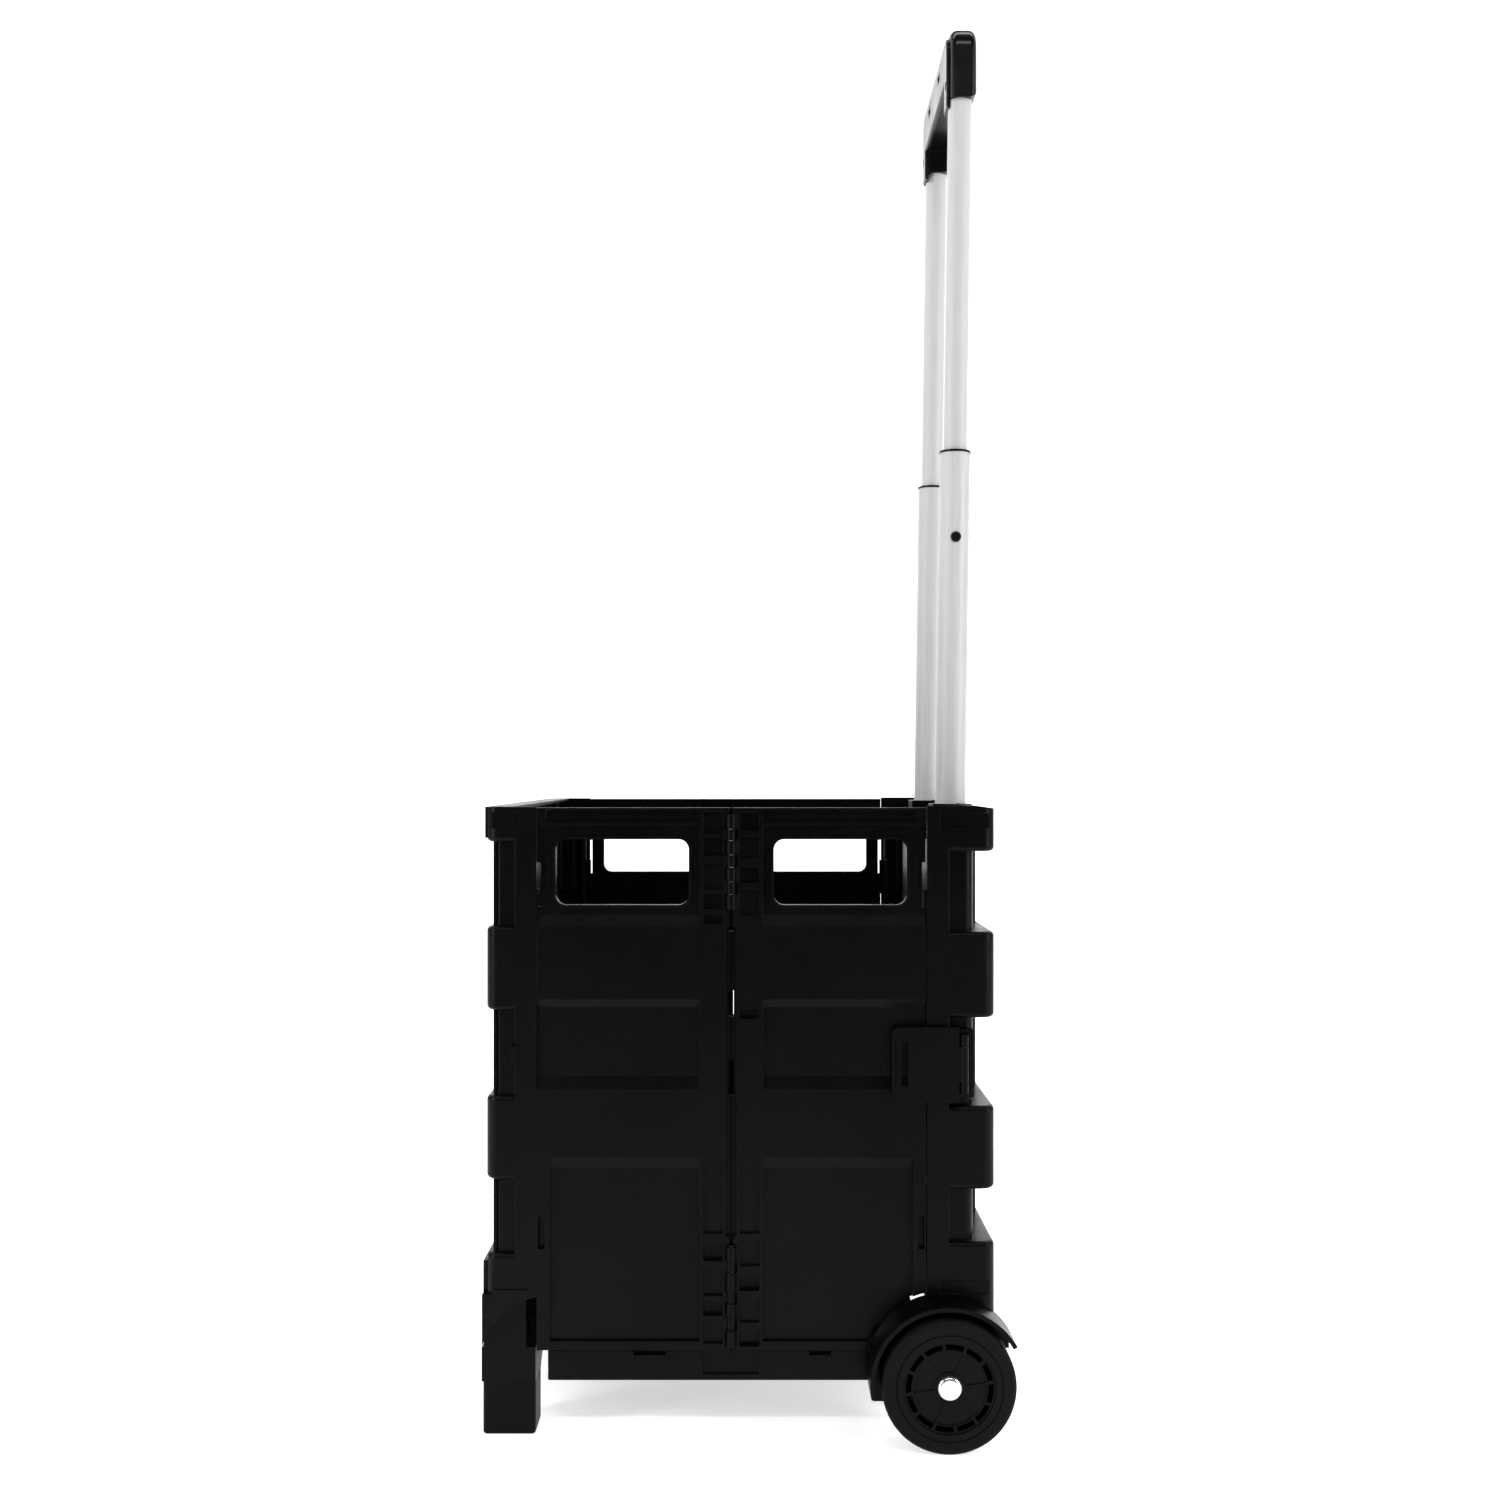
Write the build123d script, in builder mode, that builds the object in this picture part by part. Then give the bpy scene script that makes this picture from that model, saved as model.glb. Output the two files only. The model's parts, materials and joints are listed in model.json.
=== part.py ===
"""Folding crate cart: two end walls joined by hinged side panels, two wheels and a telescoping handle.

Millimetres. +Z is up from the ground, +X points from the front wall to the handle, and the origin
is the middle of the footprint on the ground. "Left" is the side at -Y.
"""

import os
from math import cos, radians, sin

from build123d import *

os.makedirs("parts", exist_ok=True)

# Whole cart
SIDE = 182.0  # outer face of the side walls
WALL = 2.3  # skin thickness of the moulded walls
RIM_TOP = 426.2
WALL_FOOT = 57.2  # lower edge of both end walls between the legs

# Folding side panels, which are mirror images about MID_X
MID_X = -8.5
PANEL_THICK = 6.5
PANEL_END = 130.9  # from MID_X to the visible end of a half panel
PANEL_GAP = 1.2  # from MID_X to the near edge of a half panel
PANEL_LOW, PANEL_HIGH = 60.1, 424.9
PANEL_ARC = 56.0  # cut-out round the wheel arch
HINGE_REACH = 137.0  # from MID_X to each end hinge axis
HINGE_DEPTH = 6.0  # end hinge axis below the outer face
MID_HINGE_PROUD = 0.25  # middle hinge axis outside the outer face
FOLD_TRAVEL = 2 * (HINGE_REACH - HINGE_DEPTH - MID_HINGE_PROUD)
BARREL_R = 3.2
BAND_ROUND = 3.2  # rounding of the raised bands' edges
KNUCKLE_R = 3.5
PIN_R = 1.5
RUN_FIT = 0.05  # radial clearance of a turning pin
REAR_AXIS_X = MID_X + HINGE_REACH
FRONT_AXIS_X = MID_X - HINGE_REACH
AXIS_Y = SIDE - HINGE_DEPTH
MID_AXIS_Y = SIDE + MID_HINGE_PROUD

# Wheels
WHEEL_X, WHEEL_R = 135.2, 44.4
WHEEL_Z = WHEEL_R
WHEEL_IN, WHEEL_OUT = 182.0, 208.5
RIM_R = 30.5
FIXED_FIT = 0.02  # radial clearance of a round joint that stays put
AXLE_R = 4.0
ARCH_IN, ARCH_PLATE_OUT, ARCH_OUT = 174.5, 177.5, 205.0
ARCH_INNER_R, ARCH_OUTER_R = 49.0, 52.0

# Front wall and legs
FRONT_SKIN = -174.0
FRONT_RIM = -175.0
FRONT_RECESS = -169.2
FRONT_FLANGE = -139.4
LEG_X = (-177.7, -141.2)
LEG_Y = (144.0, 174.0)
FOOT_TOP = 36.0
LEG_ARC_X = WHEEL_X - FOLD_TRAVEL
LEG_ARC_R = 53.2

# Floor panel
FLOOR_AXIS_X, FLOOR_AXIS_Z = -160.5, 50.0
FLOOR_LOW, FLOOR_HIGH = 36.0, 56.0
FLOOR_WIDE = 171.5
FLOOR_WIDE_X = (-133.3, 85.3)
FLOOR_REAR = 124.0

# Rear wall
REAR_FLANGE = 123.2
REAR_SKIN = 169.4
REAR_RIM = 168.7
REAR_PLATE = 167.0
REAR_CORNER = 155.5

# Telescoping handle
RAKE = 0.79  # degrees, leaning back
TUBE_Y = 72.7
TUBE_X, TUBE_X_AT = 153.2, 443.0
OUTER_R, OUTER_BORE = 11.2, 10.2
INNER_R, INNER_BORE = 8.75, 7.55
OUTER_LOW, OUTER_HIGH = 315.0, 685.0
INNER_LOW, INNER_HIGH = 580.0, 990.0
GRIP_X = (149.5, 171.8)
GRIP_LOW, GRIP_HIGH = 945.8, 1000.0
GRIP_REACH = 84  # half the width over the sleeves
GRIP_INNER = 61.4  # half the width between the sleeves
GRIP_BRIDGE = 963  # underside of the bar
GRIP_COVER = 2.6  # thickness of the front cover
GRIP_ROUND = 6
BUTTON_Z, BUTTON_R = 622.0, 3.8

LATCH_PIN = (148.0, 185.75)
LATCH_Z = (227.6, 278.0)

# Heights of the barrels on the end hinges
PANEL_BARRELS = [(140, 170), (240, 270), (340, 370)]
WALL_BARRELS = [(z + 30.4, z + 50) for z in (140, 240, 340)] + [(z - 20, z - 0.4) for z in (140, 240, 340)]
# Heights of the knuckles on the middle hinge: the large ones on the rear half, the small on the front
REAR_KNUCKLES = [(410.9, 420.2), (393.5, 402.8), (375.5, 384.8), (356.7, 366.7)]
REAR_KNUCKLES += [(120.7, 130.0), (99.4, 112.7), (82.0, 92.0), (62.6, 74.0)]
FRONT_KNUCKLES = [(403.2, 410.5), (385.2, 393.1), (367.1, 375.1)]
FRONT_KNUCKLES += [(113.1, 120.3), (92.4, 99.0), (74.4, 81.6)]
MID_PINS = [(356.7, 420.2), (62.6, 130.0)]


def write(builder, name):
    """Labels a finished piece and writes it."""
    builder.part.label = name
    export_step(builder.part, f"parts/{name}.step")


def block(x, y, z, mode=Mode.ADD):
    """A box between three pairs of limits."""
    with Locations(((x[0] + x[1]) / 2, (y[0] + y[1]) / 2, (z[0] + z[1]) / 2)):
        Box(abs(x[1] - x[0]), abs(y[1] - y[0]), abs(z[1] - z[0]), mode=mode)


def upright(x, y, radius, z, mode=Mode.ADD):
    """A vertical cylinder between two heights."""
    with Locations((x, y, (z[0] + z[1]) / 2)):
        Cylinder(radius, z[1] - z[0], mode=mode)


def crosswise(x, z, radius, y, mode=Mode.ADD):
    """A cylinder along Y between two distances."""
    with Locations(Location((x, (y[0] + y[1]) / 2, z), (90, 0, 0))):
        Cylinder(radius, abs(y[1] - y[0]), mode=mode)


def mirror_to(side):
    """Turns a piece made on the left into the right one."""
    if side > 0:
        mirror(about=Plane.XZ, mode=Mode.REPLACE)


def tube_plane(side, height):
    """The plane across a handle tube at one height."""
    x = TUBE_X + (height - TUBE_X_AT) * sin(radians(RAKE)) / cos(radians(RAKE))
    lean = (sin(radians(RAKE)), 0, cos(radians(RAKE)))
    across = (cos(radians(RAKE)), 0, -sin(radians(RAKE)))
    return Plane(origin=(x, side * TUBE_Y, height), x_dir=across, z_dir=lean)


def sleeve(side, low, high, radius, bore, mode=Mode.ADD):
    """A round tube on a handle tube's line, or a plain rod where the bore is zero."""
    with BuildSketch(tube_plane(side, low)) as ring:
        Circle(radius)
        if bore:
            Circle(bore, mode=Mode.SUBTRACT)
    extrude(ring.sketch, amount=(high - low) / cos(radians(RAKE)), mode=mode)


def wall_outline(corners):
    """A closed outline from the corners of its right half, each an x, a y and a radius."""
    half = [(x, y) for x, y, radius in corners]
    radii = [radius for x, y, radius in corners]
    other_half = [(x, -y) for x, y in reversed(half)]
    FilletPolyline(*half, *other_half, radius=radii + radii[::-1], close=True)


def wall_ring(outline, end, z):
    """An upright skin that follows an outline, open at the end towards the side panels."""
    with BuildSketch(Plane.XY.offset(z[0])) as skin:
        with BuildLine() as line:
            wall_outline(outline)
        make_face(line.edges())
        offset(amount=-WALL, kind=Kind.INTERSECTION, mode=Mode.SUBTRACT)
        with Locations((end - 20 if end > 0 else end + 20, 0)):
            Rectangle(40, 400, mode=Mode.SUBTRACT)
    extrude(skin.sketch, amount=z[1] - z[0])


def wall_shelf(outer, inner, end, z):
    """A level shelf that closes the step between a raised band and a recess."""
    with BuildSketch(Plane.XY.offset(z[0])) as shelf:
        with BuildLine() as line:
            wall_outline(outer)
        make_face(line.edges())
        with BuildSketch(mode=Mode.SUBTRACT):
            with BuildLine() as inner_line:
                wall_outline(inner)
            make_face(inner_line.edges())
            offset(amount=-WALL, kind=Kind.INTERSECTION, mode=Mode.REPLACE)
        with Locations((end - 20 if end > 0 else end + 20, 0)):
            Rectangle(40, 400, mode=Mode.SUBTRACT)
    extrude(shelf.sketch, amount=z[1] - z[0])


def banded_wall(band, recess, end, recesses, low, high):
    """A wall of raised bands round the whole outline, with recesses between the given heights."""
    floor_z = low
    for recess_low, recess_high in sorted(recesses):
        wall_ring(band, end, (floor_z, recess_low))
        wall_shelf(band, recess, end, (recess_low - WALL, recess_low))
        wall_ring(recess, end, (recess_low, recess_high))
        wall_shelf(band, recess, end, (recess_high, recess_high + WALL))
        floor_z = recess_high
    wall_ring(band, end, (floor_z, high))


def soften(levels, step, reach):
    """Rounds the outer edges of the raised bands from their step outwards, at the given heights."""
    for level in levels:
        at_level = edges().filter_by_position(Axis.Z, level - 0.01, level + 0.01)
        outward = [e for e in at_level if abs(e.center().X) > abs(step) + 1]
        rims = [e for e in outward if max(abs((e @ t).Y) for t in (0, 1)) > SIDE - 0.01
                or abs(abs((e @ 0).X) - abs(reach)) < 0.01]
        fillet(rims, BAND_ROUND)


def pockets(places, depth, radius):
    """Recesses in the outer face of a left half panel, each a span from the middle hinge and of height."""
    with BuildSketch(Plane.XZ.offset(SIDE)) as outline:
        for u, z in places:
            with Locations((MID_X + (u[0] + u[1]) / 2, (z[0] + z[1]) / 2)):
                RectangleRounded(u[1] - u[0], z[1] - z[0], radius)
    extrude(outline.sketch, amount=-depth, mode=Mode.SUBTRACT)


def field(u, outer, inner, depth=3.0):
    """A recessed field with sloping upper and lower edges, from its outer and inner heights."""
    with BuildSketch(Plane.YZ.offset(MID_X + u[0])) as profile:
        with BuildLine():
            Polyline((-SIDE - 1, outer[0]), (-SIDE, outer[0]), (-SIDE + depth, inner[0]),
                     (-SIDE + depth, inner[1]), (-SIDE, outer[1]), (-SIDE - 1, outer[1]), close=True)
        make_face()
    extrude(profile.sketch, amount=u[1] - u[0], mode=Mode.SUBTRACT)


# ---- Rear frame ----------------------------------------------------------------------------------

REAR_STEP = 137.9  # where the recesses begin beside the end flange
REAR_BAND = [(REAR_FLANGE - 10, SIDE, 0), (REAR_SKIN, SIDE, 9)]
REAR_DIP = [
    (REAR_FLANGE - 10, SIDE, 0), (REAR_STEP, SIDE, 0), (REAR_STEP, SIDE - 5.5, 1.5),
    (REAR_CORNER, SIDE - 5.5, 7), (REAR_CORNER, 110, 4), (REAR_PLATE, 104, 0),
]
REAR_RECESSES = [(132.7, 168.0), (224.2, 283.4), (341.5, 395.5)]

with BuildPart() as rear_wall:
    banded_wall(REAR_BAND, REAR_DIP, REAR_FLANGE, REAR_RECESSES, WALL_FOOT, RIM_TOP)
    soften([z for recess in REAR_RECESSES for z in recess], REAR_STEP, REAR_SKIN)
    # top ledge behind the rim, open over the tubes
    block((REAR_CORNER, REAR_SKIN - 1), (-SIDE + 9, SIDE - 9), (RIM_TOP - WALL, RIM_TOP))
    # the rim falls away to the back
    with BuildSketch(Plane.XZ):
        with BuildLine():
            Polyline((REAR_CORNER, RIM_TOP + 0.01), (REAR_SKIN + 1, RIM_TOP - 1.9),
                     (REAR_SKIN + 1, RIM_TOP + 3), (REAR_CORNER, RIM_TOP + 3), close=True)
        make_face()
    extrude(amount=200, both=True, mode=Mode.SUBTRACT)
    # barrels for the side panels, each on a web from the flange skin
    for side in (-1, 1):
        for z in WALL_BARRELS:
            upright(REAR_AXIS_X, side * AXIS_Y, BARREL_R, z)
            block((REAR_AXIS_X - BARREL_R, REAR_AXIS_X + BARREL_R), (side * AXIS_Y, side * (SIDE - 1)), z)
        upright(REAR_AXIS_X, side * AXIS_Y, PIN_R, (100, 410), mode=Mode.SUBTRACT)
        # shallow grip slots in the flanges
        block((132, 165), (side * (SIDE - 1.3), side * (SIDE + 1)), (411, 421), mode=Mode.SUBTRACT)
        block((132, 165), (side * (SIDE - 1.3), side * (SIDE + 1)), (97.8, 106.7), mode=Mode.SUBTRACT)
        # room for the wheel arch
        crosswise(WHEEL_X, WHEEL_Z, ARCH_OUTER_R + 0.2, (side * ARCH_IN, side * (SIDE + 5)),
                  mode=Mode.SUBTRACT)
        # openings in the rim for the guide bushes
        block((138.5, 166.9), (side * 57.7, side * 87.7), (400, RIM_TOP + 1), mode=Mode.SUBTRACT)
    # latch lugs on the left flange
    for z in ((233.0, 240.6), (265.0, 272.6)):
        block((LATCH_PIN[0] - 2.6, LATCH_PIN[0] + 2.6), (-LATCH_PIN[1], -SIDE + 1), z)
        upright(LATCH_PIN[0], -LATCH_PIN[1], 2.6, z)
    block((141.5, 154.5), (-SIDE, -SIDE + 6), (230.0, 276.0))
    upright(LATCH_PIN[0], -LATCH_PIN[1], 1.2, (232, 274), mode=Mode.SUBTRACT)
write(rear_wall, "rear_wall")

for side, name in ((-1, "left"), (1, "right")):
    with BuildPart() as wheel_arch:
        # inner plate that carries the axle
        crosswise(WHEEL_X, WHEEL_Z, ARCH_OUTER_R, (-ARCH_IN, -ARCH_PLATE_OUT))
        block((60, 200), (-200, -170), (-20, 24), mode=Mode.SUBTRACT)
        block((172, 200), (-200, -170), (0, 60), mode=Mode.SUBTRACT)
        # mudguard
        with BuildSketch(Plane.XZ.offset(ARCH_PLATE_OUT - 1)):
            with BuildLine():
                CenterArc((WHEEL_X, WHEEL_Z), ARCH_OUTER_R, 30, 160)
                CenterArc((WHEEL_X, WHEEL_Z), ARCH_INNER_R, 30, 160)
                Line((WHEEL_X + ARCH_OUTER_R * cos(radians(30)), WHEEL_Z + ARCH_OUTER_R * sin(radians(30))),
                     (WHEEL_X + ARCH_INNER_R * cos(radians(30)), WHEEL_Z + ARCH_INNER_R * sin(radians(30))))
                Line((WHEEL_X + ARCH_OUTER_R * cos(radians(190)), WHEEL_Z + ARCH_OUTER_R * sin(radians(190))),
                     (WHEEL_X + ARCH_INNER_R * cos(radians(190)), WHEEL_Z + ARCH_INNER_R * sin(radians(190))))
            make_face()
        extrude(amount=ARCH_OUT - ARCH_PLATE_OUT + 1)
        block((179, 200), (-200, -170), (0, 120), mode=Mode.SUBTRACT)
        # lug that runs up behind the flange, with two screw pads
        block((137, 163), (-ARCH_IN, -ARCH_PLATE_OUT), (90, 128))
        for x in (143.0, 157.0):
            crosswise(x, 118, 4.5, (-ARCH_PLATE_OUT, -SIDE + WALL))
            crosswise(x, 118, 1.6, (-170, -SIDE + 1), mode=Mode.SUBTRACT)
        # axle boss
        crosswise(WHEEL_X, WHEEL_Z, 11, (-ARCH_PLATE_OUT, -WHEEL_IN + 1.5))
        crosswise(WHEEL_X, WHEEL_Z, AXLE_R + FIXED_FIT, (-160, -190), mode=Mode.SUBTRACT)
        mirror_to(side)
    write(wheel_arch, f"wheel_arch_{name}")

    with BuildPart() as axle_stub:
        crosswise(WHEEL_X, WHEEL_Z, AXLE_R, (-ARCH_IN, -WHEEL_OUT + 1.5))
        mirror_to(side)
    write(axle_stub, f"axle_stub_{name}")

    with BuildPart() as axle_cap:
        # a shallow dome
        crosswise(WHEEL_X, WHEEL_Z, 8.2, (-WHEEL_OUT + 1.5, -WHEEL_OUT - 1.5))
        fillet(edges().group_by(Axis.Y)[0], 2.6)
        mirror_to(side)
    write(axle_cap, f"axle_cap_{name}")

    with BuildPart() as tyre:
        with BuildSketch(Plane.XZ.offset(WHEEL_IN)):
            with Locations((WHEEL_X, WHEEL_Z)):
                Circle(WHEEL_R)
        extrude(amount=WHEEL_OUT - WHEEL_IN)
        fillet(edges(), 4)
        crosswise(WHEEL_X, WHEEL_Z, RIM_R, (-WHEEL_IN + 5, -WHEEL_OUT - 5), mode=Mode.SUBTRACT)
        # a groove round the outer sidewall
        with BuildSketch(Plane.XZ.offset(WHEEL_OUT)):
            with Locations((WHEEL_X, WHEEL_Z)):
                Circle(35.6)
                Circle(34.4, mode=Mode.SUBTRACT)
        extrude(amount=-0.7, mode=Mode.SUBTRACT)
        mirror_to(side)
    write(tyre, f"tyre_{name}")

    with BuildPart() as wheel_rim:
        crosswise(WHEEL_X, WHEEL_Z, RIM_R - FIXED_FIT, (-WHEEL_IN - 1.5, -WHEEL_OUT + 1))
        # a ring of short webs round the disc, open to the outside
        with BuildSketch(Plane.XZ.offset(WHEEL_OUT)):
            with Locations((WHEEL_X, WHEEL_Z)):
                Circle(28.9)
                Circle(25.3, mode=Mode.SUBTRACT)
                with PolarLocations(27, 12, start_angle=8):
                    Rectangle(6, 2.2, mode=Mode.SUBTRACT)
        extrude(amount=-14, mode=Mode.SUBTRACT)
        # the disc lies back a little and has thin raised spokes
        with BuildSketch(Plane.XZ.offset(WHEEL_OUT)):
            with Locations((WHEEL_X, WHEEL_Z)):
                Circle(24.3)
                Circle(10.4, mode=Mode.SUBTRACT)
                with PolarLocations(17, 6, start_angle=8):
                    Rectangle(16, 1.0, mode=Mode.SUBTRACT)
        extrude(amount=-1.9, mode=Mode.SUBTRACT)
        # room for the axle cap
        crosswise(WHEEL_X, WHEEL_Z, 8.6, (-WHEEL_OUT + 1.9, -WHEEL_OUT - 5), mode=Mode.SUBTRACT)
        # hollow on the inner side
        with BuildSketch(Plane.XZ.offset(WHEEL_IN)):
            with Locations((WHEEL_X, WHEEL_Z)):
                Circle(28)
                Circle(11, mode=Mode.SUBTRACT)
                with PolarLocations(20, 6, start_angle=8):
                    Rectangle(24, 2.5, mode=Mode.SUBTRACT)
        extrude(amount=9, mode=Mode.SUBTRACT)
        crosswise(WHEEL_X, WHEEL_Z, AXLE_R + 2, (-170, -220), mode=Mode.SUBTRACT)
        mirror_to(side)
    write(wheel_rim, f"wheel_rim_{name}")

    with BuildPart() as wheel_bush:
        crosswise(WHEEL_X, WHEEL_Z, AXLE_R + 2 - FIXED_FIT, (-WHEEL_IN - 0.6, -WHEEL_OUT + 2.2))
        crosswise(WHEEL_X, WHEEL_Z, AXLE_R + RUN_FIT, (-170, -220), mode=Mode.SUBTRACT)
        mirror_to(side)
    write(wheel_bush, f"wheel_bush_{name}")

with BuildPart() as arch_screws:
    for side in (-1, 1):
        for x in (143.0, 157.0):
            crosswise(x, 118, 1.6 - FIXED_FIT, (side * ARCH_IN, side * (SIDE - WALL)))
            crosswise(x, 118, 3.2, (side * (ARCH_IN - 1.8), side * ARCH_IN))
write(arch_screws, "arch_screws")

with BuildPart() as floor_support_bar:
    block((122.2, 127), (-ARCH_IN, ARCH_IN), (29.5, FLOOR_LOW - 0.1))
    fillet(edges().filter_by(Axis.Y), 1.2)
write(floor_support_bar, "floor_support_bar")

with BuildPart() as tube_guide_bushes:
    for side in (-1, 1):
        block((138.5, 166.9), (side * 57.7, side * 87.7), (400, RIM_TOP - 0.6))
        sleeve(side, 395, 430, OUTER_R + 0.15, 0, mode=Mode.SUBTRACT)
        block((148.4, 157.4), (side * TUBE_Y, side * (TUBE_Y + 13.4)), (395, 430), mode=Mode.SUBTRACT)
write(tube_guide_bushes, "tube_guide_bushes")

for side, name in ((-1, "left"), (1, "right")):
    with BuildPart() as tube_cover:
        block((133.6, REAR_PLATE - WALL), (-88.2, -57.2), (61, 399.4))
        block((135.6, REAR_PLATE + 1), (-86.7, -58.7), (50, 420), mode=Mode.SUBTRACT)
        fillet(edges().filter_by(Axis.Z).group_by(Axis.X)[0], 1.5)
        mirror_to(side)
    write(tube_cover, f"tube_cover_{name}")

    with BuildPart() as rear_hinge_pin:
        upright(REAR_AXIS_X, side * AXIS_Y, PIN_R, (120, 390))
    write(rear_hinge_pin, f"rear_hinge_pin_{name}")

with BuildPart() as latch_hinge_pin:
    upright(LATCH_PIN[0], -LATCH_PIN[1], 1.2, (233, 272.6))
write(latch_hinge_pin, "latch_hinge_pin")

with BuildPart() as latch_strap:
    block((99.1, 145.0), (-184.5, -187.0), LATCH_Z)
    fillet(edges().filter_by(Axis.Y).group_by(Axis.X)[0], 5)
    # cut round the lugs on the flange
    for z in ((225, 241.0), (264.6, 280)):
        block((144.2, 160), (-180, -190), z, mode=Mode.SUBTRACT)
    block((144, LATCH_PIN[0]), (-LATCH_PIN[1] + 1.25, -LATCH_PIN[1] - 1.25), (241.0, 264.6))
    upright(LATCH_PIN[0], -LATCH_PIN[1], 2.6, (241.0, 264.6))
    upright(LATCH_PIN[0], -LATCH_PIN[1], 1.2 + RUN_FIT, (230, 280), mode=Mode.SUBTRACT)
    block((105.2, 109.9), (-180, -190), (238.5, 267.9), mode=Mode.SUBTRACT)
    block((100.3, 102.3), (-186.2, -190), (238.5, 267.9), mode=Mode.SUBTRACT)
write(latch_strap, "latch_strap")


# ---- Side panels ---------------------------------------------------------------------------------

HAND_HOLE = ((28.6, 118.1), (359.5, 403.7))
HOLE_SIZE = [high - low for low, high in HAND_HOLE]
HOLE_PLACE = (MID_X + sum(HAND_HOLE[0]) / 2, sum(HAND_HOLE[1]) / 2)
GROOVE = 3.6  # half the width of the groove between the half panels
TONGUE = 3.0  # thickness of the tongue that closes the groove from inside
KNUCKLE_DEPTH = 3.9  # depth of the room round the middle knuckles
LIP_DEPTH = 5.3  # from the panel's outer face
LIP = 1.75  # how far the rear half's inner lip reaches past the middle
SLITS = [(341.5, 345.0), (284.1, 301.7), (230.7, 254.4)]
HINGE_ZONES = [(344.7, PANEL_HIGH), (PANEL_LOW, 136.8)]
COLUMN = (5.6, 18.9)
# heights of the pockets beside the middle hinge, which are staggered between the halves
FRONT_DEEP = [(392.4, 404.7), (356.6, 367.2), (346.5, 353.0), (120.0, 131.4), (83.3, 93.3)]
FRONT_SHALLOW = [(407.5, 422.5), (370.0, 387.9), (96.7, 116.0), (64.6, 79.4)]
REAR_DEEP = [(409.6, 421.5), (374.3, 385.1), (100.0, 110.0), (62.6, 73.3), (283.0, 289.6)]
REAR_SHALLOW = [(390.5, 405.8), (353.0, 370.2), (116.7, 134.0), (78.7, 94.6)]


def panel_face():
    """The bands, fields, hand hole and edges that both halves of a left side panel share."""
    block((MID_X + 0.2, MID_X + PANEL_END), (-SIDE, -SIDE + PANEL_THICK), (PANEL_LOW, PANEL_HIGH))
    field((21.3, 131), (344.7, 413.0), (352.8, 412.0))
    field((21.3, 131), (235.9, 295.9), (243.8, 290.6))
    field((21.3, 122.1), (66.0, 189.5), (67.0, 182.2))
    field((5.6, 18.9), (138.5, 185.0), (139.5, 182.2), 2.2)
    pockets([((20.9, 124.6), (415.2, 423.4))], 3.0, 0.6)
    # a lip round the hand hole
    with BuildSketch(Plane.XZ.offset(SIDE)) as lip:
        with Locations(HOLE_PLACE):
            RectangleRounded(HOLE_SIZE[0] + 3.4, HOLE_SIZE[1] + 3.4, 8.6)
    extrude(lip.sketch, amount=-PANEL_THICK)
    with BuildSketch(Plane.XZ.offset(SIDE + 1)) as hand_hole:
        with Locations(HOLE_PLACE):
            RectangleRounded(*HOLE_SIZE, 7)
    extrude(hand_hole.sketch, amount=-PANEL_THICK - 2, mode=Mode.SUBTRACT)
    # clip slots and a notch beside the end wall
    pockets([((125.6, 130), (370.0, 391.0)), ((125.6, 130), (128.0, 150.0))], 4.4, 0.8)
    block((MID_X + 128.6, MID_X + 140), (-SIDE - 1, -SIDE + 10), (358, 388), mode=Mode.SUBTRACT)
    # the groove between the halves, closed from inside by a tongue with slits through it
    block((MID_X, MID_X + GROOVE), (-SIDE - 1, -SIDE + PANEL_THICK - TONGUE), (136.8, 344.7),
          mode=Mode.SUBTRACT)
    for zone in HINGE_ZONES:
        block((MID_X, MID_X + PANEL_GAP), (-SIDE - 1, -SIDE + KNUCKLE_DEPTH), zone, mode=Mode.SUBTRACT)
    for slit in SLITS:
        block((MID_X, MID_X + 1.7), (-SIDE - 1, -SIDE + PANEL_THICK + 1), slit, mode=Mode.SUBTRACT)


def end_barrels():
    """The barrels and necks at the end hinge of a left half panel, made on the rear half."""
    for z in PANEL_BARRELS:
        upright(REAR_AXIS_X, -AXIS_Y, BARREL_R, z)
        block((MID_X + PANEL_END - 1, REAR_AXIS_X), (-AXIS_Y - BARREL_R + 0.2, -SIDE + PANEL_THICK), z)
    upright(REAR_AXIS_X, -AXIS_Y, PIN_R + RUN_FIT, (100, 420), mode=Mode.SUBTRACT)


def knuckle_room(other):
    """The space that the other half's knuckles need at the middle hinge."""
    for low, high in other:
        block((MID_X - 1, MID_X + 3.9), (-SIDE - 1, -SIDE + KNUCKLE_DEPTH), (low - 0.4, high + 0.4))


def knuckles(own, radius):
    """The knuckles of one half at the middle hinge."""
    for z in own:
        upright(MID_X, -MID_AXIS_Y, radius, z)
        block((MID_X, MID_X + PANEL_GAP + 3), (-MID_AXIS_Y, -MID_AXIS_Y + radius), z)


def mid_bores(bore):
    """The pin holes of one half at the middle hinge."""
    for z in MID_PINS:
        upright(MID_X, -MID_AXIS_Y, bore, (z[0] - 10, z[1] + 10), mode=Mode.SUBTRACT)


with BuildPart() as panel_blank:
    panel_face()
    end_barrels()

with BuildPart() as front_room:
    knuckle_room(FRONT_KNUCKLES)

with BuildPart() as rear_room:
    knuckle_room(REAR_KNUCKLES)

with BuildPart() as rear_knuckles:
    knuckles(REAR_KNUCKLES, KNUCKLE_R)

with BuildPart() as front_knuckles:
    knuckles(FRONT_KNUCKLES, KNUCKLE_R - 0.6)

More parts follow.
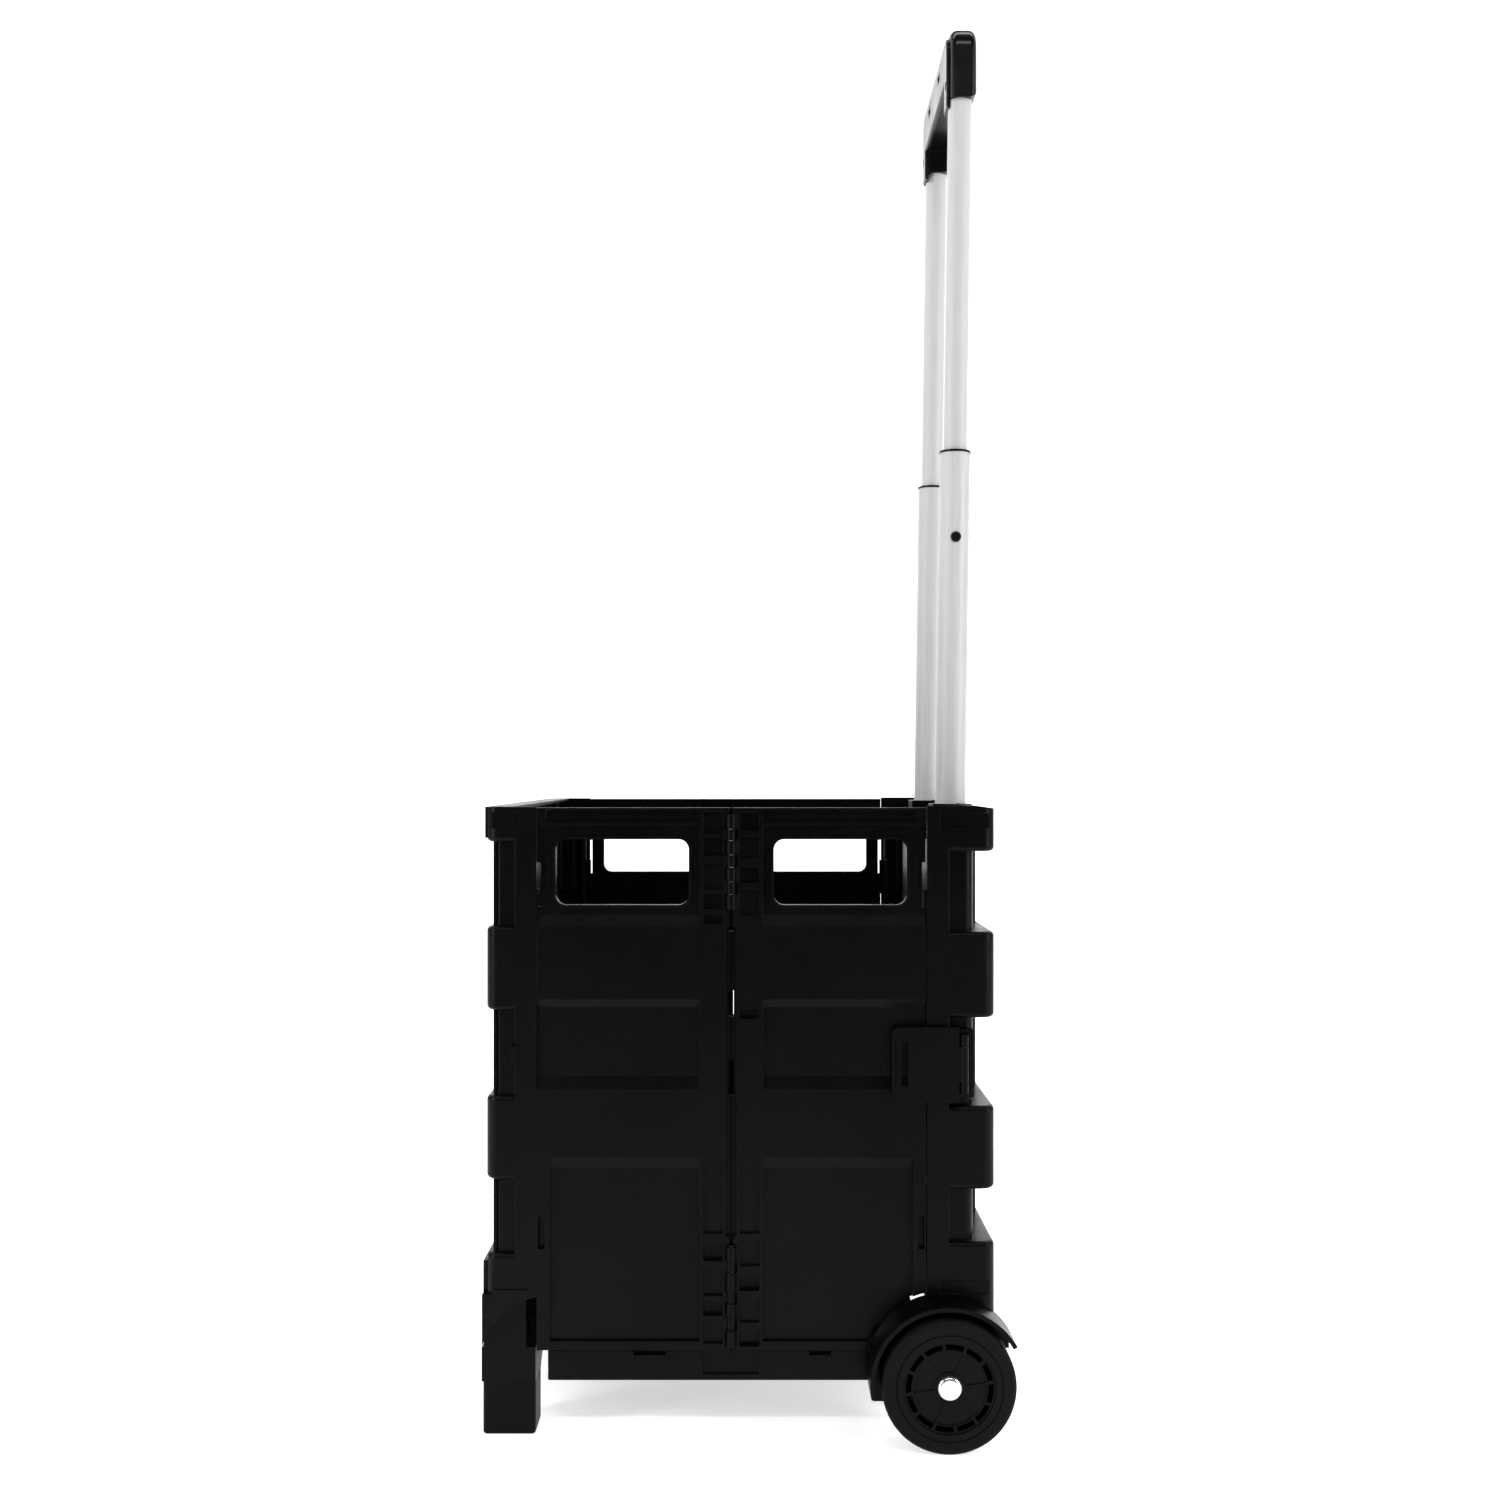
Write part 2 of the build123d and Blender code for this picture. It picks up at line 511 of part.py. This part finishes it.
with BuildPart() as rear_half:
    add(panel_blank.part)
    # a lip behind the front half, which closes the gap between the halves
    block((MID_X - LIP, MID_X + 1), (-SIDE + LIP_DEPTH, -SIDE + PANEL_THICK), (PANEL_LOW, PANEL_HIGH))
    for slit in SLITS:
        block((MID_X - LIP, MID_X + 1.7), (-SIDE - 1, -SIDE + PANEL_THICK + 1), slit, mode=Mode.SUBTRACT)
    pockets([(COLUMN, z) for z in REAR_DEEP], 4.6, 0.8)
    pockets([(COLUMN, z) for z in REAR_SHALLOW], 2.6, 0.8)
    crosswise(WHEEL_X, WHEEL_Z, PANEL_ARC, (-160, -190), mode=Mode.SUBTRACT)
    add(front_room.part, mode=Mode.SUBTRACT)
    add(rear_knuckles.part)
    mid_bores(PIN_R)

with BuildPart() as front_half:
    add(panel_blank.part)
    # a step for the rear half's lip
    block((MID_X, MID_X + LIP + 0.15), (-SIDE + LIP_DEPTH - 0.2, -SIDE + PANEL_THICK + 1),
          (PANEL_LOW, PANEL_HIGH), mode=Mode.SUBTRACT)
    pockets([(COLUMN, z) for z in FRONT_DEEP], 4.6, 0.8)
    pockets([(COLUMN, z) for z in FRONT_SHALLOW], 2.6, 0.8)
    add(rear_room.part, mode=Mode.SUBTRACT)
    add(front_knuckles.part)
    mid_bores(PIN_R + RUN_FIT)
    mirror(about=Plane.YZ.offset(MID_X), mode=Mode.REPLACE)

for side, name in ((-1, "left"), (1, "right")):
    with BuildPart() as rear_panel:
        add(rear_half.part)
        mirror_to(side)
    write(rear_panel, f"rear_panel_{name}")

    with BuildPart() as front_panel:
        add(front_half.part)
        mirror_to(side)
    write(front_panel, f"front_panel_{name}")

    with BuildPart() as mid_hinge_pins:
        for z in MID_PINS:
            upright(MID_X, side * MID_AXIS_Y, PIN_R, z)
    write(mid_hinge_pins, f"mid_hinge_pins_{name}")


# ---- Front frame ---------------------------------------------------------------------------------

FRONT_STEP = -153.9  # where the recesses begin beside the end flange
FRONT_BAND = [(FRONT_FLANGE + 10, SIDE, 0), (FRONT_SKIN, SIDE, 9)]
FRONT_DIP = [
    (FRONT_FLANGE + 10, SIDE, 0), (FRONT_STEP, SIDE, 0),
    (FRONT_STEP, SIDE - 5, 1.5), (FRONT_RECESS, SIDE - 5, 6),
]
FRONT_RECESSES = [(125.0, 174.5), (231.0, 288.5), (345.0, 402.0)]

with BuildPart() as front_wall:
    banded_wall(FRONT_BAND, FRONT_DIP, FRONT_FLANGE, FRONT_RECESSES, WALL_FOOT, RIM_TOP - 0.7)
    soften([z for recess in FRONT_RECESSES for z in recess], FRONT_STEP, FRONT_SKIN)
    # the rim and the lower block stand a little further forward
    block((FRONT_RIM, FRONT_SKIN + 1), (-SIDE + 6, SIDE - 6), (404.4, RIM_TOP - 0.7))
    block((-176.2, FRONT_SKIN + 1), (-SIDE + 6, SIDE - 6), (WALL_FOOT, 118.6))
    block((FRONT_SKIN, -158), (-SIDE + 9, SIDE - 9), (RIM_TOP - 0.7 - WALL, RIM_TOP - 0.7))
    # inner plate behind the bands
    block((FRONT_RECESS, FRONT_RECESS + 2), (-SIDE + 5, SIDE - 5), (WALL_FOOT - 15, 404))
    block((FRONT_SKIN + 1, FRONT_RECESS + 1), (-SIDE + 5, SIDE - 5), (WALL_FOOT, WALL_FOOT + WALL))
    for side in (-1, 1):
        for z in WALL_BARRELS:
            upright(FRONT_AXIS_X, side * AXIS_Y, BARREL_R, z)
            block((FRONT_AXIS_X - BARREL_R, FRONT_AXIS_X + BARREL_R), (side * AXIS_Y, side * (SIDE - 1)), z)
        upright(FRONT_AXIS_X, side * AXIS_Y, PIN_R, (100, 410), mode=Mode.SUBTRACT)
        # shoulder over the leg, hollow from the back
        block((-176.2, -147.6), (side * 146, side * (SIDE - 0.01)), (WALL_FOOT, 97.5))
        block((FRONT_RECESS + 2, -140), (side * 149, side * 171.4), (61, 94.5), mode=Mode.SUBTRACT)
        # room for the raised floor
        block((FRONT_RECESS + 2, -140), (side * 145, side * (FLOOR_WIDE + 0.5)), (71, 98), mode=Mode.SUBTRACT)
        # leg
        with BuildSketch(Plane.YZ.offset(LEG_X[0])):
            with BuildLine():
                Polyline((side * LEG_Y[1], FOOT_TOP), (side * LEG_Y[1], 59.2), (side * 116, 59.2),
                         (side * 116, 55), (side * LEG_Y[0], 38), (side * LEG_Y[0], FOOT_TOP), close=True)
            make_face()
        extrude(amount=LEG_X[1] - LEG_X[0])
        crosswise(LEG_ARC_X, WHEEL_Z, LEG_ARC_R, (side * LEG_Y[1], side * (SIDE + 5)), mode=Mode.SUBTRACT)
        # grip slots in the flanges
        block((-174, -151.6), (side * (SIDE - 1.3), side * (SIDE + 1)), (411, 422), mode=Mode.SUBTRACT)
        block((-174, -145), (side * (SIDE - 1.3), side * (SIDE + 1)), (100.5, 112), mode=Mode.SUBTRACT)
        # floor hinge lugs and their pin holes
        block((FRONT_RECESS + 1, FLOOR_AXIS_X), (side * 97.6, side * 103.6), (44.2, 64))
        crosswise(FLOOR_AXIS_X, FLOOR_AXIS_Z, 5.8, (side * 97.6, side * 103.6))
        crosswise(FLOOR_AXIS_X, FLOOR_AXIS_Z, 2.5, (side * 90, side * 110), mode=Mode.SUBTRACT)
        # screw hole up from the foot
        upright(-159.4, side * 159, 2.0, (FOOT_TOP - 1, 54), mode=Mode.SUBTRACT)
    # catch for the latch, on the left flange
    block((-156.5, -152.5), (-SIDE + 5.5, -SIDE - 2.0), (251, 265))
write(front_wall, "front_wall")

for side, name in ((-1, "left"), (1, "right")):
    with BuildPart() as front_hinge_pin:
        upright(FRONT_AXIS_X, side * AXIS_Y, PIN_R, (120, 390))
    write(front_hinge_pin, f"front_hinge_pin_{name}")

    with BuildPart() as foot:
        block((-177.0, LEG_X[1]), (side * LEG_Y[0], side * LEG_Y[1]), (0, FOOT_TOP))
        fillet(edges().filter_by(Axis.Z), 3)
        fillet(edges().group_by(Axis.Z)[0], 2)
        upright(-159.4, side * 159, 4.2, (-1, 8), mode=Mode.SUBTRACT)
        upright(-159.4, side * 159, 2.0, (-1, FOOT_TOP + 1), mode=Mode.SUBTRACT)
    write(foot, f"foot_{name}")

with BuildPart() as foot_screws:
    for side in (-1, 1):
        upright(-159.4, side * 159, 2.0, (5, 54))
        upright(-159.4, side * 159, 4.0, (5, 8))
write(foot_screws, "foot_screws")

with BuildPart() as floor_hinge_pins:
    for side in (-1, 1):
        crosswise(FLOOR_AXIS_X, FLOOR_AXIS_Z, 2.5, (side * 82, side * 103.6))
write(floor_hinge_pins, "floor_hinge_pins")

with BuildPart() as floor_panel:
    with BuildSketch(Plane.XY.offset(FLOOR_LOW)):
        with BuildLine() as line:
            wall_outline([(FLOOR_AXIS_X - 1.4, 97, 0), (FLOOR_WIDE_X[0], 97, 2),
                          (FLOOR_WIDE_X[0], FLOOR_WIDE, 2), (FLOOR_WIDE_X[1], FLOOR_WIDE, 2),
                          (FLOOR_WIDE_X[1], 120, 2), (FLOOR_REAR, 120, 3)])
        make_face(line.edges())
    extrude(amount=FLOOR_HIGH - FLOOR_LOW)
    # hollow from below, with a grid of ribs
    for x in (-114, -70, -26, 18, 62):
        for y in (-140, -93.5, -47, 0, 47, 93.5, 140):
            block((x - 20.5, x + 20.5), (y - 21.5, y + 21.5), (FLOOR_LOW - 1, FLOOR_HIGH - 3),
                  mode=Mode.SUBTRACT)
    # notches in the side rails
    for side in (-1, 1):
        for x in ((-28, 9.9),):
            block(x, (side * (FLOOR_WIDE - 2), side * (FLOOR_WIDE + 1)), (FLOOR_LOW + 4, FLOOR_HIGH + 1),
                  mode=Mode.SUBTRACT)
        for x in ((-75, -53), (44.7, 59)):
            block(x, (side * (FLOOR_WIDE - 4), side * (FLOOR_WIDE + 1)), (FLOOR_HIGH - 3, FLOOR_HIGH + 1),
                  mode=Mode.SUBTRACT)
        crosswise(FLOOR_AXIS_X, FLOOR_AXIS_Z, 2.5 + RUN_FIT, (side * 80, side * 100), mode=Mode.SUBTRACT)
write(floor_panel, "floor_panel")


# ---- Telescoping handle --------------------------------------------------------------------------

for side, name in ((-1, "left"), (1, "right")):
    with BuildPart() as lower_tube:
        sleeve(side, OUTER_LOW, OUTER_HIGH, OUTER_R, OUTER_BORE)
        crosswise(tube_plane(side, BUTTON_Z).origin.X, BUTTON_Z, BUTTON_R + 0.1,
                  (side * TUBE_Y, side * (TUBE_Y + 15)), mode=Mode.SUBTRACT)
    write(lower_tube, f"lower_tube_{name}")

    with BuildPart() as upper_tube:
        sleeve(side, INNER_LOW, INNER_HIGH, INNER_R, INNER_BORE)
    write(upper_tube, f"upper_tube_{name}")

    with BuildPart() as lock_button:
        button_x = tube_plane(side, BUTTON_Z).origin.X
        crosswise(button_x, BUTTON_Z, BUTTON_R, (-TUBE_Y - 9.8, -TUBE_Y - 12.2))
        with BuildSketch(Plane.XZ.offset(TUBE_Y + 12.2)):
            with Locations((button_x, BUTTON_Z)):
                Circle(BUTTON_R)
        extrude(amount=0.7, taper=50)
        mirror_to(side)
    write(lock_button, f"lock_button_{name}")

with BuildPart() as lower_tube_plugs:
    for side in (-1, 1):
        sleeve(side, OUTER_LOW - 2, OUTER_LOW, OUTER_R, 0)
        sleeve(side, OUTER_LOW, OUTER_LOW + 5, OUTER_BORE, 0)
write(lower_tube_plugs, "lower_tube_plugs")

with BuildPart() as tube_collars:
    for side in (-1, 1):
        sleeve(side, OUTER_HIGH, OUTER_HIGH + 1.6, OUTER_R + 0.5, INNER_R + 0.1)
        sleeve(side, OUTER_HIGH - 22, OUTER_HIGH, OUTER_BORE, INNER_R + 0.1)
write(tube_collars, "tube_collars")

with BuildPart() as upper_tube_plugs:
    for side in (-1, 1):
        sleeve(side, INNER_LOW - 2, INNER_LOW, OUTER_BORE - 0.1, 0)
        sleeve(side, INNER_LOW, INNER_LOW + 16, OUTER_BORE - 0.1, INNER_R)
write(upper_tube_plugs, "upper_tube_plugs")


def grip_outline(reach, low, high, corner):
    """The U-shaped outline of the grip: a bar with a sleeve at each end."""
    with BuildLine() as outline:
        Polyline(*[(y, z) for y, z in (
            (-reach, low), (-reach, high), (reach, high), (reach, low), (GRIP_INNER, low),
            (GRIP_INNER, GRIP_BRIDGE), (-GRIP_INNER, GRIP_BRIDGE), (-GRIP_INNER, low))], close=True)
    make_face(outline.edges())
    corners = vertices()
    fillet(corners.group_by(Axis.Y)[-1], corner)
    fillet(corners.filter_by_position(Axis.Y, GRIP_BRIDGE - 1, GRIP_BRIDGE + 1), 13)


with BuildPart() as grip_shell:
    with BuildSketch(Plane.YZ.offset(GRIP_X[0] + GRIP_COVER)):
        grip_outline(GRIP_REACH, GRIP_LOW, GRIP_HIGH, 16)
    extrude(amount=GRIP_X[1] - GRIP_X[0] - GRIP_COVER)
    fillet(faces().sort_by(Axis.X)[-1].edges(), GRIP_ROUND)
    fillet(faces().sort_by(Axis.X)[0].edges().sort_by(Axis.Z)[-1], GRIP_ROUND)
    for side in (-1, 1):
        sleeve(side, GRIP_LOW - 5, INNER_HIGH, INNER_R + FIXED_FIT, 0, mode=Mode.SUBTRACT)
write(grip_shell, "grip_shell")

with BuildPart() as grip_front_cover:
    with BuildSketch(Plane.YZ.offset(GRIP_X[0])):
        grip_outline(GRIP_REACH - GRIP_ROUND, GRIP_LOW - 6, GRIP_HIGH - GRIP_ROUND, 10)
    extrude(amount=GRIP_COVER)
    fillet(faces().sort_by(Axis.X)[0].edges(), 2.2)
    for side in (-1, 1):
        block((GRIP_X[0] - 1, GRIP_X[0] + 1.2), (side * 24, side * 36), (979, 985), mode=Mode.SUBTRACT)
        with Locations(Location((GRIP_X[0] + 1, side * TUBE_Y, 958), (0, 90, 0))):
            Cylinder(3.1, 3, mode=Mode.SUBTRACT)
        sleeve(side, GRIP_LOW - 15, INNER_HIGH, INNER_R + FIXED_FIT, 0, mode=Mode.SUBTRACT)
write(grip_front_cover, "grip_front_cover")

with BuildPart() as grip_screws:
    for side in (-1, 1):
        with Locations(Location((GRIP_X[0] + 1.1, side * TUBE_Y, 958), (0, 90, 0))):
            Cylinder(3.1 - FIXED_FIT, 1.2)
write(grip_screws, "grip_screws")
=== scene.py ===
"""Looks of the folding crate cart: materials, floor, light and camera."""

import json
import math

import bmesh
import bpy
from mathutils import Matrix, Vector

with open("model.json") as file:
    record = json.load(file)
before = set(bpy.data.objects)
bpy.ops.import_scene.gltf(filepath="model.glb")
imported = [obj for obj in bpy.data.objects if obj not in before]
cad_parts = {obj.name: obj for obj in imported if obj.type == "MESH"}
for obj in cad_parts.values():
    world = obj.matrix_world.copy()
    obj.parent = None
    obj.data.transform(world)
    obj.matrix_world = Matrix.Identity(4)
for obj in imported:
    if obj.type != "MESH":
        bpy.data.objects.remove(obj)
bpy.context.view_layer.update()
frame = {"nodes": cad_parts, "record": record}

nodes = frame["nodes"]


# ---- Node helpers --------------------------------------------------------------------------------

class Shade:
    """A material's node tree, with short calls for the nodes used here."""

    def __init__(self, name):
        self.material = bpy.data.materials.new(name)
        self.material.use_nodes = True
        self.tree = self.material.node_tree
        self.bsdf = self.tree.nodes["Principled BSDF"]
        self.where = self.node("ShaderNodeTexCoord").outputs["Object"]

    def node(self, kind, **values):
        made = self.tree.nodes.new(kind)
        for key, value in values.items():
            if key in made.inputs:
                made.inputs[key].default_value = value
            else:
                setattr(made, key, value)
        return made

    def link(self, source, target):
        self.tree.links.new(source, target)

    def set(self, **values):
        for key, value in values.items():
            self.bsdf.inputs[key.replace("_", " ")].default_value = value

    def scaled(self, stretch):
        """Object coordinates multiplied along each axis."""
        mapping = self.node("ShaderNodeMapping")
        mapping.inputs["Scale"].default_value = stretch
        self.link(self.where, mapping.inputs["Vector"])
        return mapping.outputs["Vector"]

    def noise(self, scale, detail=4.0, roughness=0.55, vector=None):
        made = self.node("ShaderNodeTexNoise")
        made.inputs["Scale"].default_value = scale
        made.inputs["Detail"].default_value = detail
        made.inputs["Roughness"].default_value = roughness
        self.link(vector or self.where, made.inputs["Vector"])
        return made.outputs["Fac"]

    def cells(self, scale, vector=None):
        made = self.node("ShaderNodeTexVoronoi")
        made.inputs["Scale"].default_value = scale
        self.link(vector or self.where, made.inputs["Vector"])
        return made.outputs["Distance"]

    def ramp(self, source, low, high, first, last):
        """Maps a value between two limits onto two colours."""
        made = self.node("ShaderNodeValToRGB")
        made.color_ramp.elements[0].position = low
        made.color_ramp.elements[1].position = high
        made.color_ramp.elements[0].color = (*first, 1)
        made.color_ramp.elements[1].color = (*last, 1)
        self.link(source, made.inputs["Fac"])
        return made.outputs["Color"]

    def span(self, source, low, high, first, last):
        """Maps a value between two limits onto two numbers."""
        made = self.node("ShaderNodeMapRange")
        limits = {"From Min": low, "From Max": high, "To Min": first, "To Max": last}
        for key, value in limits.items():
            made.inputs[key].default_value = value
        self.link(source, made.inputs["Value"])
        return made.outputs["Result"]

    def math(self, operation, first, second):
        made = self.node("ShaderNodeMath", operation=operation)
        for slot, value in zip(made.inputs, (first, second)):
            if isinstance(value, (int, float)):
                slot.default_value = value
            else:
                self.link(value, slot)
        return made.outputs["Value"]

    def bump(self, height, strength, distance, edge=0.0):
        """Fine relief in the normal, and sharp edges rounded by a radius if one is given."""
        made = self.node("ShaderNodeBump")
        made.inputs["Strength"].default_value = strength
        made.inputs["Distance"].default_value = distance
        self.link(height, made.inputs["Height"])
        if edge:
            rounded = self.node("ShaderNodeBevel", samples=4)
            rounded.inputs["Radius"].default_value = edge
            self.link(rounded.outputs["Normal"], made.inputs["Normal"])
        self.link(made.outputs["Normal"], self.bsdf.inputs["Normal"])

    def colour(self, source):
        self.link(source, self.bsdf.inputs["Base Color"])

    def rough(self, source):
        self.link(source, self.bsdf.inputs["Roughness"])


# ---- Materials -----------------------------------------------------------------------------------

def moulded_plastic(name, dark, light, rough, grain=2600, depth=0.00005, edge=0.0008):
    """Black moulded plastic with a fine spark-eroded grain and softly rounded edges."""
    shade = Shade(name)
    shade.colour(shade.ramp(shade.noise(9, 3), 0.35, 0.7, dark, light))
    fine = shade.noise(grain, 2, 0.7)
    pores = shade.cells(grain * 0.6)
    height = shade.math("ADD", fine, shade.math("MULTIPLY", pores, 0.6))
    shade.bump(height, 0.3, depth, edge)
    uneven = shade.math("ADD", shade.noise(38, 3), shade.math("MULTIPLY", fine, 0.4))
    shade.rough(shade.span(uneven, 0.4, 1.0, rough - 0.07, rough + 0.1))
    shade.set(Specular_IOR_Level=0.07)
    return shade.material


def polished_plastic(name, tone, rough):
    """Smooth black plastic with faint flow marks and handling haze."""
    shade = Shade(name)
    haze = shade.noise(26, 5, 0.6)
    paler = tuple(value * 1.6 for value in tone)
    shade.colour(shade.ramp(haze, 0.4, 0.75, tone, paler))
    shade.rough(shade.span(haze, 0.35, 0.75, rough, rough + 0.12))
    shade.bump(shade.noise(90, 2), 0.04, 0.0004, 0.001)
    shade.set(Specular_IOR_Level=0.15)
    return shade.material


def silver_tube(name):
    """Satin anodised tube with fine lengthwise draw lines."""
    shade = Shade(name)
    lines = shade.noise(60, 3, 0.6, shade.scaled((26, 26, 0.35)))
    shade.colour(shade.ramp(lines, 0.3, 0.75, (0.44, 0.445, 0.45), (0.52, 0.525, 0.53)))
    shade.rough(shade.span(lines, 0.3, 0.7, 0.42, 0.55))
    shade.bump(lines, 0.05, 0.00005)
    shade.set(Metallic=0.1, Specular_IOR_Level=0.2)
    return shade.material


def bare_steel(name, dark, light, rough):
    """Drawn or plated steel with faint streaks."""
    shade = Shade(name)
    streak = shade.noise(420, 4, 0.6)
    shade.colour(shade.ramp(streak, 0.3, 0.7, dark, light))
    shade.rough(shade.span(streak, 0.3, 0.7, rough - 0.06, rough + 0.12))
    shade.bump(streak, 0.08, 0.00004)
    shade.set(Metallic=0.95)
    return shade.material


def rubber_tread(name):
    """Dull black rubber with scuffs and dust on the running face."""
    shade = Shade(name)
    scuff = shade.noise(140, 6, 0.7)
    shade.colour(shade.ramp(scuff, 0.35, 0.8, (0.002, 0.002, 0.0021), (0.006, 0.0059, 0.0058)))
    shade.rough(shade.span(scuff, 0.3, 0.7, 0.55, 0.78))
    shade.bump(shade.noise(1500, 3, 0.7), 0.3, 0.00008, 0.0006)
    shade.set(Specular_IOR_Level=0.08)
    return shade.material


def natural_nylon(name):
    """Milky nylon with soft clouding."""
    shade = Shade(name)
    cloud = shade.noise(120, 3)
    shade.colour(shade.ramp(cloud, 0.3, 0.7, (0.55, 0.54, 0.5), (0.68, 0.67, 0.63)))
    shade.rough(shade.span(cloud, 0.3, 0.7, 0.4, 0.55))
    shade.bump(cloud, 0.05, 0.0001)
    return shade.material


# Colours are linear. A pair is the darkest and the lightest tone of one finish.
BODY_BLACK = ((0.0012, 0.0012, 0.0013), (0.0022, 0.0022, 0.0024))
INNER_BLACK = ((0.0013, 0.0013, 0.0014), (0.0024, 0.0024, 0.0026))
PAINT_BLACK = ((0.005, 0.005, 0.0053), (0.009, 0.009, 0.0095))
COLLAR_BLACK = (0.003, 0.003, 0.0033)
GRIP_BLACK = (0.0025, 0.0025, 0.0028)
CHROME = ((0.62, 0.63, 0.65), (0.78, 0.79, 0.81))
PIN_GREY = ((0.32, 0.32, 0.33), (0.5, 0.5, 0.51))
SCREW_GREY = ((0.05, 0.05, 0.052), (0.12, 0.12, 0.125))

finishes = {
    "box_plastic": moulded_plastic("box_plastic", *BODY_BLACK, 0.32),
    "inner_plastic": moulded_plastic("inner_plastic", *INNER_BLACK, 0.36),
    "collar_plastic": polished_plastic("collar_plastic", COLLAR_BLACK, 0.25),
    "wheel_plastic": moulded_plastic("wheel_plastic", *INNER_BLACK, 0.34),
    "tread": rubber_tread("tread"),
    "bush_plastic": natural_nylon("bush_plastic"),
    "cap_chrome": bare_steel("cap_chrome", *CHROME, 0.18),
    "pin_steel": bare_steel("pin_steel", *PIN_GREY, 0.32),
    "screw_steel": bare_steel("screw_steel", *SCREW_GREY, 0.4),
    "support_steel": moulded_plastic("support_steel", *PAINT_BLACK, 0.36, grain=900),
    "foot_plastic": moulded_plastic("foot_plastic", *BODY_BLACK, 0.42, grain=1800),
    "tube_silver": silver_tube("tube_silver"),
    "grip_gloss": polished_plastic("grip_gloss", GRIP_BLACK, 0.16),
}

for part in frame["record"]["subparts"]:
    solid = nodes[part["node"]]
    solid.data.materials.clear()
    solid.data.materials.append(finishes[part["material_slot"]])


# ---- Floor, light and camera ---------------------------------------------------------------------

def area_light(name, place, aim, size, power):
    """A soft rectangular lamp that points at a spot."""
    data = bpy.data.lights.new(name, "AREA")
    data.shape = "RECTANGLE"
    data.size, data.size_y = size
    data.energy = power
    lamp = bpy.data.objects.new(name, data)
    lamp.location = place
    direction = Vector(aim) - Vector(place)
    lamp.rotation_euler = direction.to_track_quat("-Z", "Y").to_euler()
    bpy.context.scene.collection.objects.link(lamp)


FLOOR_FRONT, FLOOR_BACK, FLOOR_SIDE = -3.0, 1.6, 5.0  # metres, as everywhere in the scene
CURVE_R = 0.8  # bend between the floor and the backdrop
BACKDROP_HIGH = 4.0
DIM_TO, BRIGHT_FROM = -1.0, -0.35  # the floor's own glow rises between these depths
DIM_GLOW, BRIGHT_GLOW = 0.12, 0.62


def pale_floor():
    """A large white sheet that curves up into a backdrop."""
    bend = [math.radians(step) for step in range(10, 91, 10)]
    profile = [(FLOOR_FRONT, 0.0), (FLOOR_BACK, 0.0)]
    profile += [(FLOOR_BACK + CURVE_R * math.sin(a), CURVE_R - CURVE_R * math.cos(a)) for a in bend]
    profile += [(FLOOR_BACK + CURVE_R, BACKDROP_HIGH)]
    mesh = bpy.data.meshes.new("backdrop")
    work = bmesh.new()
    rows = [[work.verts.new((x, y, z)) for x in (-FLOOR_SIDE, FLOOR_SIDE)] for y, z in profile]
    for below, above in zip(rows, rows[1:]):
        work.faces.new((below[0], below[1], above[1], above[0]))
    work.to_mesh(mesh)
    work.free()
    mesh.shade_smooth()
    sheet = bpy.data.objects.new("backdrop", mesh)
    bpy.context.scene.collection.objects.link(sheet)
    shade = Shade("backdrop")
    shade.colour(shade.ramp(shade.noise(2.0, 2), 0.3, 0.7, (0.86, 0.86, 0.86), (0.9, 0.9, 0.9)))
    # Painted light: the sheet glows, faintly at the front and more strongly from just before the
    # cart to the back.
    shade.set(Roughness=0.85, Specular_IOR_Level=0.1, Emission_Color=(1, 1, 1, 1))
    place = shade.node("ShaderNodeSeparateXYZ")
    shade.link(shade.where, place.inputs["Vector"])
    glow = shade.span(place.outputs["Y"], DIM_TO, BRIGHT_FROM, DIM_GLOW, BRIGHT_GLOW)
    shade.link(glow, shade.bsdf.inputs["Emission Strength"])
    mesh.materials.append(shade.material)


# The lens and the shift are fitted so that the cart's outline lies on the photo's.
CAMERA_AT = (0.0018, -1.236, 0.4483)
LENS, SENSOR = 37.62, 36.0  # mm
SHIFT = (0.0023, 0.0153)

camera_data = bpy.data.cameras.new("camera")
camera_data.lens = LENS
camera_data.sensor_width = SENSOR
camera_data.shift_x, camera_data.shift_y = SHIFT
camera = bpy.data.objects.new("camera", camera_data)
camera.location = CAMERA_AT
camera.rotation_euler = (math.radians(90), 0, 0)
bpy.context.scene.collection.objects.link(camera)
bpy.context.scene.camera = camera

pale_floor()
for side in (-1, 1):
    area_light("side", (side * 2.2, -1.25, 1.0), (0, 0, 0.45), (0.35, 1.8), 40)
    area_light("wash", (side * 2.4, 0.7, 2.2), (side * 0.4, 2.4, 0.9), (1.6, 1.6), 26)
area_light("slope", (0, -1.9, 2.3), (0, 0, 0.3), (2.2, 0.2), 24)
area_light("top", (0.0, 0.1, 2.6), (0, 0, 0), (2.4, 0.4), 28)
area_light("back", (0.8, 1.5, 1.9), (0, 0, 0.4), (1.6, 1.0), 10)

WORLD_STRENGTH = 0.06

world = bpy.data.worlds.new("studio")
world.use_nodes = True
world.node_tree.nodes["Background"].inputs["Color"].default_value = (1, 1, 1, 1)
world.node_tree.nodes["Background"].inputs["Strength"].default_value = WORLD_STRENGTH
bpy.context.scene.world = world
bpy.context.scene.view_settings.view_transform = "Standard"
